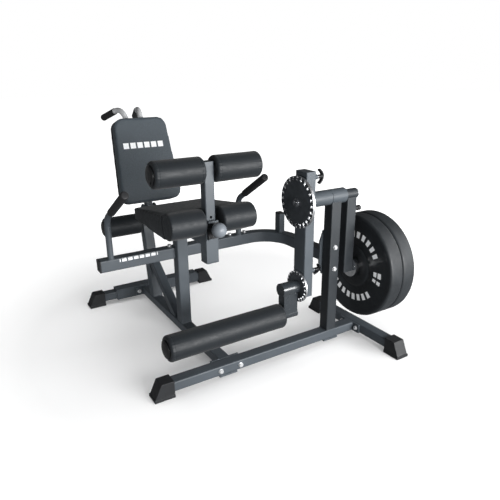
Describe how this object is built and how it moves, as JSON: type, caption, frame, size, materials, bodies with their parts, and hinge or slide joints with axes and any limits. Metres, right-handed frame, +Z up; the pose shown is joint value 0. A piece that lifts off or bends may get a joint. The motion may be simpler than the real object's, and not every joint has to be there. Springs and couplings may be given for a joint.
{
  "type": "plate-loaded seated leg extension and curl machine",
  "caption": "Seated leg extension and curl machine: tubular frame, padded seat and reclining back, foam rollers, indexed swing lever and a plate-loaded weight arm.",
  "frame": {"origin": "on the floor under the middle of the bounding box", "axes": "+Z up, the user faces -Y, +X is the user's left, the side with the lever and the weights"},
  "size_m": [1.18, 1.3818, 0.9733],
  "materials": {
    "frame_paint": "satin powder coat",
    "foot_rubber": "matte",
    "end_plug": "matte",
    "bearing_steel": "ground",
    "seat_wood": "black painted plywood",
    "seat_vinyl": "soft sheen vinyl",
    "back_vinyl": "grained vinyl",
    "roller_foam": "vinyl skinned foam, soft sheen",
    "grip_rubber": "matte",
    "zinc_bolt": "bright zinc",
    "roller_cap": "glossy",
    "pin_steel": "ground",
    "knob_grey": "satin",
    "knob_black": "satin",
    "dial_paint": "satin",
    "horn_chrome": "polished",
    "handle_chrome": "polished",
    "plate_rubber": "moulded, satin",
    "plate_insert": "turned",
    "bushing_plastic": "plain"
  },
  "bodies": {
    "frame": {"front_base_bar": "frame_paint", "right_base_bar": "frame_paint", "base_rail": "frame_paint", "rear_base_bar": "frame_paint", "foot_caps": "foot_rubber", "front_upright": "frame_paint", "rear_upright": "frame_paint", "diagonal_brace": "frame_paint", "cross_beam": "frame_paint", "beam_end_cap": "end_plug", "stub_post": "frame_paint", "stub_post_cap": "end_plug", "right_upright": "frame_paint", "bearing_housing": "frame_paint", "pivot_bearings": "bearing_steel", "seat_carrier": "frame_paint", "seat_board": "seat_wood", "seat_pad": "seat_vinyl", "side_handle_left": "frame_paint", "side_handle_right": "frame_paint", "side_grips": "grip_rubber", "frame_bolts": "zinc_bolt", "recline_bracket": "frame_paint", "rear_roller_tube": "frame_paint", "rear_roller_caps": "roller_cap"},
    "rear_roller_left": {"rear_roller_left": "roller_foam"},
    "rear_roller_right": {"rear_roller_right": "roller_foam"},
    "thigh_hold_down": {"thigh_post": "frame_paint", "thigh_roller_caps": "roller_cap"},
    "thigh_roller_left": {"thigh_roller_left": "roller_foam"},
    "thigh_roller_right": {"thigh_roller_right": "roller_foam"},
    "post_pull_pin": {"post_pin": "pin_steel", "post_knob": "knob_grey"},
    "weight_rotor": {"pivot_shaft": "bearing_steel", "index_dial": "dial_paint", "weight_arm": "frame_paint", "horn_flange": "horn_chrome", "weight_horn": "horn_chrome", "arm_peg": "grip_rubber"},
    "inner_weight": {"inner_plate": "plate_rubber", "inner_plate_hub": "plate_insert"},
    "outer_weight": {"outer_plate": "plate_rubber", "outer_plate_hub": "plate_insert"},
    "lever": {"lever_arm": "frame_paint", "lever_bushings": "bushing_plastic"},
    "upper_pull_pin": {"upper_pin": "pin_steel", "upper_pin_handle": "knob_black"},
    "lower_pull_pin": {"lower_pin": "pin_steel", "lower_pin_handle": "knob_black"},
    "crank": {"crank": "frame_paint", "crank_dial": "dial_paint", "ankle_roller_caps": "roller_cap"},
    "ankle_roller": {"ankle_roller": "roller_foam"},
    "backrest": {"backrest_frame": "frame_paint", "backrest_board": "seat_wood", "backrest_pad": "back_vinyl", "pull_handles": "handle_chrome", "pull_handle_grips": "grip_rubber"},
    "recline_pull_pin": {"recline_pin": "knob_black"}
  },
  "joints": [
    {"name": "rotor_swing", "type": "hinge", "parent": "frame", "child": "weight_rotor", "pos_m": [0.264, -0.394, 0.65], "axis": [-1, 0, 0], "range_deg": [-25, 110]},
    {"name": "inner_plate_slide", "type": "slide", "parent": "weight_rotor", "child": "inner_weight", "axis": [1, 0, 0], "range_m": [0, 0.2]},
    {"name": "outer_plate_slide", "type": "slide", "parent": "inner_weight", "child": "outer_weight", "axis": [1, 0, 0], "range_m": [0, 0.13]},
    {"name": "lever_index", "type": "hinge", "parent": "weight_rotor", "child": "lever", "pos_m": [0.16, -0.394, 0.65], "axis": [-1, 0, 0], "range_deg": [-10, 105]},
    {"name": "upper_pin_pull", "type": "slide", "parent": "lever", "child": "upper_pull_pin", "axis": [1, 0, 0], "range_m": [0, 0.012], "stiffness_N_per_m": 400, "springref_m": -0.01},
    {"name": "lower_pin_pull", "type": "slide", "parent": "lever", "child": "lower_pull_pin", "axis": [1, 0, 0], "range_m": [0, 0.012], "stiffness_N_per_m": 400, "springref_m": -0.01},
    {"name": "crank_index", "type": "hinge", "parent": "lever", "child": "crank", "pos_m": [0.12, -0.394, 0.298], "axis": [-1, 0, 0], "range_deg": [-90, 90]},
    {"name": "ankle_roller_spin", "type": "hinge", "parent": "crank", "child": "ankle_roller", "pos_m": [-0.238, -0.394, 0.188], "axis": [1, 0, 0], "continuous": true},
    {"name": "thigh_height", "type": "slide", "parent": "frame", "child": "thigh_hold_down", "axis": [0, 0, 1], "range_m": [-0.035, 0.07]},
    {"name": "thigh_roller_left_spin", "type": "hinge", "parent": "thigh_hold_down", "child": "thigh_roller_left", "pos_m": [-0.14, -0.274, 0.792], "axis": [1, 0, 0], "continuous": true},
    {"name": "thigh_roller_right_spin", "type": "hinge", "parent": "thigh_hold_down", "child": "thigh_roller_right", "pos_m": [-0.34, -0.274, 0.792], "axis": [1, 0, 0], "continuous": true},
    {"name": "post_pin_pull", "type": "slide", "parent": "frame", "child": "post_pull_pin", "axis": [0, -1, 0], "range_m": [0, 0.012], "stiffness_N_per_m": 400, "springref_m": -0.01},
    {"name": "backrest_recline", "type": "hinge", "parent": "frame", "child": "backrest", "pos_m": [-0.24, 0.3597, 0.51883], "axis": [-1, 0, 0], "range_deg": [0, 73]},
    {"name": "recline_pin_pull", "type": "slide", "parent": "frame", "child": "recline_pull_pin", "axis": [1, 0, 0], "range_m": [0, 0.012], "stiffness_N_per_m": 400, "springref_m": -0.01},
    {"name": "rear_roller_left_spin", "type": "hinge", "parent": "frame", "child": "rear_roller_left", "pos_m": [-0.14, 0.41, 0.431], "axis": [1, 0, 0], "continuous": true},
    {"name": "rear_roller_right_spin", "type": "hinge", "parent": "frame", "child": "rear_roller_right", "pos_m": [-0.34, 0.41, 0.431], "axis": [1, 0, 0], "continuous": true}
  ]
}
